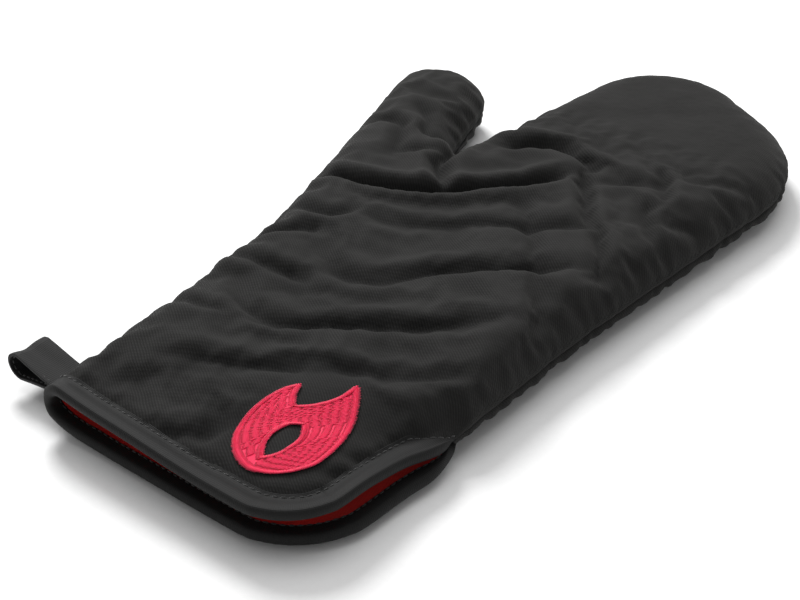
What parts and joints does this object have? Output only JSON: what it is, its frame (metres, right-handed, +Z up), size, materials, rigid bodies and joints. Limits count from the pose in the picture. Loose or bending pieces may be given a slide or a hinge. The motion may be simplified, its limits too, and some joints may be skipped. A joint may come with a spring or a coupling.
{
  "type": "heat resistant glove",
  "caption": "Long padded barbecue mitt with a thumb, black quilted cotton shell, red lining, bound cuff with a side slit and a hanging loop.",
  "frame": {"origin": "middle of the palm, on the resting face of the back panel", "axes": "+Y from the cuff to the fingertips, -X towards the thumb, +Z up out of the front panel that carries the emblem"},
  "size_m": [0.228, 0.435, 0.0336],
  "materials": {
    "shell_twill": "brushed cotton twill, matt",
    "batting": "needled cotton batting",
    "lining_cotton": "plain cotton lining",
    "binding_tape": "cotton bias tape, folded and pressed",
    "thread_black": "spun polyester thread",
    "thread_red": "spun polyester thread",
    "embroidery_red": "satin and fill embroidery, slight lustre"
  },
  "bodies": {
    "hand": {"front_shell": "shell_twill", "back_shell": "shell_twill", "front_batting": "batting", "back_batting": "batting", "front_lining": "lining_cotton", "back_lining": "lining_cotton", "side_seam_thread": "thread_black", "lining_seam_thread": "thread_red", "loop_tail": "binding_tape", "cuff_binding": "binding_tape", "front_binding_stitches": "thread_black", "back_binding_stitches": "thread_black", "emblem": "embroidery_red"},
    "thumb": {"thumb_front_shell": "shell_twill", "thumb_back_shell": "shell_twill", "thumb_front_batting": "batting", "thumb_back_batting": "batting", "thumb_front_lining": "lining_cotton", "thumb_back_lining": "lining_cotton", "thumb_side_seam_thread": "thread_black", "thumb_lining_seam_thread": "thread_red"},
    "loop": {"hanging_loop": "binding_tape"}
  },
  "joints": [
    {"name": "thumb_fold", "type": "hinge", "parent": "hand", "child": "thumb", "pos_m": [-0.074, 0.125, 0.0165], "axis": [0.1788, 0.9839, 0], "range_deg": [-50, 50], "stiffness_Nm_per_rad": 0.25},
    {"name": "loop_bend", "type": "hinge", "parent": "hand", "child": "loop", "pos_m": [-0.0825, -0.138, 0.013], "axis": [0, 1, 0], "range_deg": [-70, 70], "stiffness_Nm_per_rad": 0.01}
  ]
}
